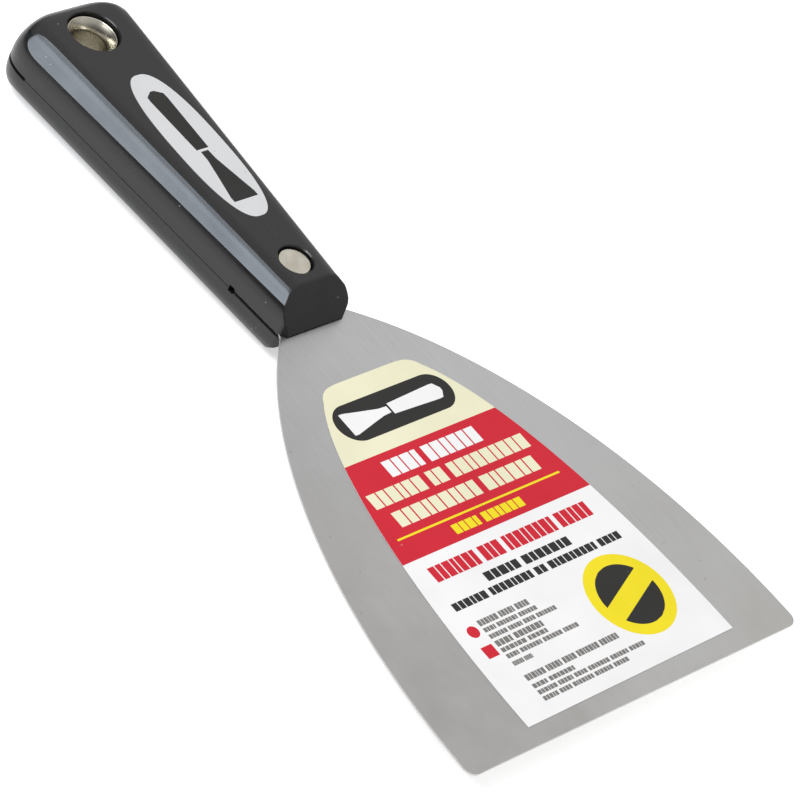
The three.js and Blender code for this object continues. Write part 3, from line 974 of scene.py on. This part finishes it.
def eyelet_mouth(lip_z):
    """Half of the eyelet's outline: up the bore, over the rolled lip and back down."""
    throat = lip_z - EYELET_FLARE_DEPTH - EYELET_FUNNEL
    steps = 8
    inner = [(EYELET_BORE, throat)]
    for step in range(1, steps + 1):
        t = step / steps
        flare = (EYELET_RADIUS - 0.3 - EYELET_BORE) * t**EYELET_FLARE_POWER
        inner.append((EYELET_BORE + flare, lerp(throat, lip_z - 0.14, t)))
    lip = [
        (EYELET_RADIUS - 0.22, lip_z - 0.03),
        (EYELET_RADIUS - 0.13, lip_z),
        (EYELET_RADIUS - 0.04, lip_z - 0.04),
        (EYELET_RADIUS, lip_z - 0.14),
        (EYELET_RADIUS - 0.05, lip_z - 0.3),
    ]
    outer = [(radius + EYELET_WALL, z - 0.25) for radius, z in reversed(inner[:-1])]
    return [*inner, *lip, *[(min(radius, EYELET_RADIUS - 0.1), z) for radius, z in outer]]


def make_eyelet():
    """A tube with a funnel mouth and a small rolled lip at both ends."""
    upper = eyelet_mouth(FRONT_FACE - EYELET_RECESS)
    lower = [(radius, -z) for radius, z in reversed(eyelet_mouth(BACK_FACE - EYELET_RECESS))]
    eyelet = turned("eyelet_tube", [*upper, *lower, upper[0]], HOLE_Y, (nickel_plate,))
    shade(eyelet, 50)
    return eyelet


# ---- label and handle print ----


def on_label(x, y):
    """A place on the label, from its own upright frame to where it was stuck on."""
    middle = (LABEL_BOTTOM + LABEL_TOP) / 2
    turned_x = x * math.cos(LABEL_TILT) - (y - middle) * math.sin(LABEL_TILT)
    turned_y = x * math.sin(LABEL_TILT) + (y - middle) * math.cos(LABEL_TILT)
    return LABEL_OFFSET + turned_x, middle + turned_y


def on_handle(x, y):
    """A place on the straight handle, which is set where it is fitted later."""
    return x, y


class Layer:
    """Flat patches of one material on one level, gathered into a single mesh."""

    def __init__(self, name, material, z_low, z_high, place=on_label):
        self.name = name
        self.material = material
        self.z_low = z_low
        self.z_high = z_high
        self.place = place
        self.points = []
        self.faces = []

    def rows(self, rows, place=None, across=1):
        """One patch from rows of (y, left x, right x), moved by place if given."""
        first = len(self.points)
        count = 2 * (across + 1)
        for y, left, right in rows:
            places = [lerp(left, right, i / across) for i in range(across + 1)]
            ring = [(x, self.z_low) for x in places] + [(x, self.z_high) for x in reversed(places)]
            for x, z in ring:
                at = place(x, y) if place else (x, y)
                self.points.append((*self.place(*at), z))
        last = first + count * (len(rows) - 1)
        for start in range(first, last, count):
            self.faces += ring_faces(start, start + count, count)
        self.faces.append(tuple(range(first + count - 1, first - 1, -1)))
        self.faces.append(tuple(range(last, last + count)))

    def bar(self, left, right, low, high, place=None):
        self.rows([(y, left, right) for y in steps_between(low, high, 1)], place)

    def disc(self, x, y, radius):
        rows = []
        for i in range(25):
            angle = math.pi * (i + 0.02) / 24.04
            half = radius * math.sin(angle)
            rows.append((y - radius * math.cos(angle), x - half, x + half))
        self.rows(rows)

    def blocks(self, left, right, low, high, words):
        """Greeked type: plain blocks with gaps, one for each letter of each word."""
        letters = sum(words)
        total = sum(LETTER_WIDTHS[i % len(LETTER_WIDTHS)] for i in range(letters))
        spaces = LETTER_GAP * (letters - len(words)) + WORD_GAP * (len(words) - 1)
        unit = (right - left) / (total + spaces)
        x = left
        index = 0
        for word in words:
            for letter in range(word):
                width = LETTER_WIDTHS[index % len(LETTER_WIDTHS)] * unit
                self.bar(x, x + width, low, high)
                x += width + (LETTER_GAP if letter < word - 1 else WORD_GAP) * unit
                index += 1

    def type_lines(self, lines):
        for line in lines:
            self.blocks(*line)

    def finish(self):
        piece = solid(self.name, self.points, self.faces, (self.material,))
        piece.data.shade_flat()
        return piece


def label_half_width(y):
    """The film's side arc and, near its top, the curve round its corner."""
    centre = LABEL_HALF_WIDTH - LABEL_SIDE_X
    corner_start = LABEL_TOP - LABEL_CORNER
    rise = (min(y, corner_start) - LABEL_BOTTOM) / LABEL_SIDE_Y
    half = centre + LABEL_SIDE_X * math.sqrt(1 - rise**2)
    past = max(0, y - corner_start) / LABEL_CORNER
    turn = 1 - math.sqrt(max(0, 1 - past))
    return half - turn * LABEL_CORNER * (1 - turn) - 2 * LABEL_CORNER * turn**2


def label_rows(low, high):
    """The film's full width between two heights."""
    stations = steps_between(low, min(high, LABEL_TOP - LABEL_CORNER), 1)
    if high > LABEL_TOP - LABEL_CORNER:
        stations += steps_between(LABEL_TOP - LABEL_CORNER, high, 0.25)[1:]
    return [(y, -label_half_width(y), label_half_width(y)) for y in stations]


def stadium_rows(half_length, half_height, y_middle):
    """A bar with round ends, lengthways along X."""
    rows = []
    steps = 22
    for i in range(steps + 1):
        angle = math.pi * (i + 0.1) / (steps + 0.2)
        reach = half_length - half_height + half_height * math.sin(angle)
        rows.append((y_middle - half_height * math.cos(angle), -reach, reach))
    return rows


def knife_sign(layer, length, width, place):
    """A plain scraper seen from above: blade, neck and handle, lengthways along Y."""
    half = width / 2
    tip = [(along * length, -share * half, share * half) for along, share in SIGN_BLADE]
    layer.rows(tip, place, SIGN_COLUMNS)
    grip = []
    start, end = SIGN_GRIP
    for i in range(SIGN_ROWS + 1):
        along = lerp(start, end, i / SIGN_ROWS)
        past = max(0, along - end + SIGN_GRIP_ROUNDING) / SIGN_GRIP_ROUNDING
        share = lerp(*SIGN_GRIP_WIDTHS, i / SIGN_ROWS) * math.sqrt(max(0.04, 1 - past**2))
        grip.append((along * length, -share * half, share * half))
    layer.rows(grip, place, SIGN_COLUMNS)


def make_label():
    """The film and its printed layers, each a hair above the one it is printed on."""
    levels = [FILM_HIGH + INK * i for i in range(4)]
    base = Layer("label_film", film_white, FILM_LOW, FILM_HIGH)
    base.rows(label_rows(LABEL_BOTTOM, LABEL_TOP))

    cream = Layer("label_cream_band", ink_cream, levels[0], levels[1])
    cream.rows(label_rows(BAND_TOP, LABEL_TOP))

    red = Layer("label_red", ink_red, levels[0], levels[1])
    red.rows(label_rows(BAND_BOTTOM, BAND_TOP))
    red.type_lines(TYPE_LINES["red"])
    red.disc(*DOT)
    red.bar(*SQUARE)

    badge = Layer("label_badge", ink_yellow, levels[0], levels[1])
    badge.disc(BADGE_X, BADGE_Y, BADGE_RADIUS)

    yellow = Layer("label_yellow_type", ink_yellow, levels[1], levels[2])
    yellow.bar(*RULE)
    yellow.type_lines(TYPE_LINES["yellow"])

    cream_type = Layer("label_cream_type", ink_cream, levels[1], levels[2])
    cream_type.type_lines(TYPE_LINES["cream"])

    black = Layer("label_black", ink_black, levels[1], levels[2])
    black.rows(stadium_rows(EMBLEM_HALF_LENGTH, EMBLEM_HALF_HEIGHT, EMBLEM_Y))
    black.type_lines(TYPE_LINES["black"])
    for side in (1, -1):
        black.rows(badge_segment(side), in_badge)

    white_type = Layer("label_white_type", film_white, levels[2], levels[3])
    white_type.type_lines(TYPE_LINES["white"])
    knife_sign(white_type, *EMBLEM_SIGN, lambda x, y: (y, EMBLEM_Y + x))

    grey = Layer("label_grey_type", ink_grey, levels[0], levels[1])
    for y, right, height in SMALL_PRINT:
        count = max(2, round((right - SMALL_PRINT_LEFT) / SMALL_PRINT_WORD))
        words = [4 + (i * 3 + round(y)) % 4 for i in range(count)]
        grey.blocks(SMALL_PRINT_LEFT, right, y - height / 2, y + height / 2, words)
    return [
        layer.finish()
        for layer in (base, cream, red, badge, yellow, cream_type, black, white_type, grey)
    ]


def badge_segment(side):
    """One of the badge's two dark segments, on either side of its plain band."""
    rows = []
    for i in range(BADGE_STEPS + 1):
        y = lerp(BADGE_BAND, BADGE_INNER * 0.999, i / BADGE_STEPS)
        half = math.sqrt(BADGE_INNER**2 - y**2)
        rows.append((side * y, -half, half))
    return rows


def in_badge(x, y):
    """A place in the badge's own turned frame, on the label."""
    across = x * math.cos(BADGE_TURN) - y * math.sin(BADGE_TURN)
    up = x * math.sin(BADGE_TURN) + y * math.cos(BADGE_TURN)
    return BADGE_X + across, BADGE_Y + up


def make_print():
    plate = prism("print_foil", superellipse_rows(0), PRINT_LOW, PRINT_HIGH, (silver_foil,))
    shade(plate, 20)
    sign = Layer("print_sign", ink_black, PRINT_HIGH, PRINT_HIGH + INK, on_handle)
    knife_sign(sign, *PRINT_SIGN, lambda x, y: (PRINT_X + x, PRINT_Y + y))
    return [plate, sign.finish()]


# ---- assembly ----


def on_handle_body(piece, slot, *nodes):
    """A piece of the straight handle, set where the handle is fitted."""
    origin = knife_point(0, RIVET_Y, 0)
    place = knife_point(RIVET_X, RIVET_Y, 0)
    turn = Matrix.Rotation(HANDLE_TURN, 4, "Z")
    piece.data.transform(Matrix.Translation(place) @ turn @ Matrix.Translation(-origin))
    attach(piece, "handle")
    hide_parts(*nodes)


def bending(piece, slot, *nodes):
    """A springy piece, left flat: its placement is baked into its mesh and the CAD nodes it stands
    for are hidden.
    """
    bpy.context.view_layer.update()
    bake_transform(piece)
    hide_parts(*nodes)


def build_knife():
    front_scale = make_scale("scale_front", 1, FRONT_FACE)
    back_scale = make_scale("scale_back", -1, BACK_FACE)
    front_rivet = make_rivet_half("rivet_front", 1, FRONT_FACE, RIVET_PIN, RIVET_PIN_END)
    back_rivet = make_rivet_half("rivet_back", -1, BACK_FACE, RIVET_TUBE, RIVET_TUBE_END)
    on_handle_body(front_scale, "handle_nylon", "handle_scale_front")
    on_handle_body(back_scale, "handle_nylon", "handle_scale_back")
    bending(make_blade(), "blade_steel", "blade", "blade_tang")
    on_handle_body(make_tang(), "blade_steel", "blade_tang")
    on_handle_body(front_rivet, "rivet_nickel", "rivet_pin")
    on_handle_body(back_rivet, "rivet_nickel", "rivet_tube")
    on_handle_body(make_eyelet(), "rivet_nickel", "hang_eyelet")
    for piece in make_label():
        bending(piece, "label_film", "blade_label")
    for piece in make_print():
        on_handle_body(piece, "print_foil", "handle_print")


# ---- studio ----


def make_floor():
    """A sheet of pale paper, just under the back of the handle."""
    reach = FLOOR_REACH
    low = cad_low.z - FLOOR_DROP
    mesh = bpy.data.meshes.new("floor")
    corners = ((-reach, -reach), (reach, -reach), (reach, reach), (-reach, reach))
    mesh.from_pydata([(x, y, low) for x, y in corners], [], [(0, 1, 2, 3)])
    mesh.materials.append(floor_paper())
    add_object("floor", mesh)


def make_world():
    """White light from above, darker round the horizon and on the camera's side."""
    world = bpy.data.worlds.new("studio")
    world.use_nodes = True
    tree = world.node_tree
    place = tree.nodes.new("ShaderNodeTexCoord")
    lean = tree.nodes.new("ShaderNodeVectorMath")
    lean.operation = "DOT_PRODUCT"
    lean.inputs[1].default_value = WORLD_LEAN
    rise = tree.nodes.new("ShaderNodeMapRange")
    rise.inputs["From Min"].default_value = WORLD_RISE[0]
    rise.inputs["From Max"].default_value = WORLD_RISE[1]
    rise.inputs["To Min"].default_value = WORLD_HORIZON
    rise.inputs["To Max"].default_value = WORLD_OVERHEAD
    tree.links.new(place.outputs["Generated"], lean.inputs[0])
    tree.links.new(lean.outputs["Value"], rise.inputs["Value"])
    tree.links.new(rise.outputs["Result"], tree.nodes["Background"].inputs["Strength"])
    tree.nodes["Background"].inputs["Color"].default_value = (1, 1, 1, 1)
    bpy.context.scene.world = world


def standing(across, up, back, place):
    """The placement of a lamp or camera that looks against its back direction."""
    return Matrix.Translation(place) @ Matrix((across, up, back)).transposed().to_4x4()


def softbox(name, direction, distance, width, length, power, colour):
    """An area light that faces the handle from a direction, its length along the knife."""
    light = bpy.data.lights.new(name, "AREA")
    light.shape = "RECTANGLE"
    light.size = width
    light.size_y = length
    light.energy = power
    light.color = colour
    lamp = bpy.data.objects.new(name, light)
    back = Vector(direction).normalized()
    across = Vector((0, 1, 0)).cross(back).normalized()
    along = back.cross(across)
    place = knife_point(0, LAMP_AIM_Y, 0) + back * distance
    lamp.matrix_world = standing(across, along, back, place)
    bpy.context.collection.objects.link(lamp)


def make_camera():
    azimuth, elevation, roll = (math.radians(angle) for angle in CAMERA_ANGLES)
    level = math.cos(elevation)
    back = Vector((math.sin(azimuth) * level, -math.cos(azimuth) * level, math.sin(elevation)))
    level_right = Vector((0, 0, 1)).cross(back).normalized()
    level_up = back.cross(level_right)
    up = level_up * math.cos(roll) + level_right * math.sin(roll)
    right = up.cross(back)
    place = knife_point(*CAMERA_TARGET) + back * CAMERA_DISTANCE
    camera = bpy.data.objects.new("camera", bpy.data.cameras.new("camera"))
    camera.data.lens = CAMERA_LENS
    camera.data.sensor_width = CAMERA_SENSOR
    camera.data.clip_start = 0.01
    camera.matrix_world = standing(right, up, back, place)
    bpy.context.collection.objects.link(camera)
    bpy.context.scene.camera = camera


build_knife()
make_floor()
make_world()
softbox(
    "stripe_softbox",
    direction=(-0.60, 0.24, 0.76),
    distance=1.3,
    width=0.42,
    length=0.9,
    power=10.5,
    colour=(0.95, 0.975, 1.0),
)
make_camera()
bpy.context.scene.view_settings.view_transform = "Standard"
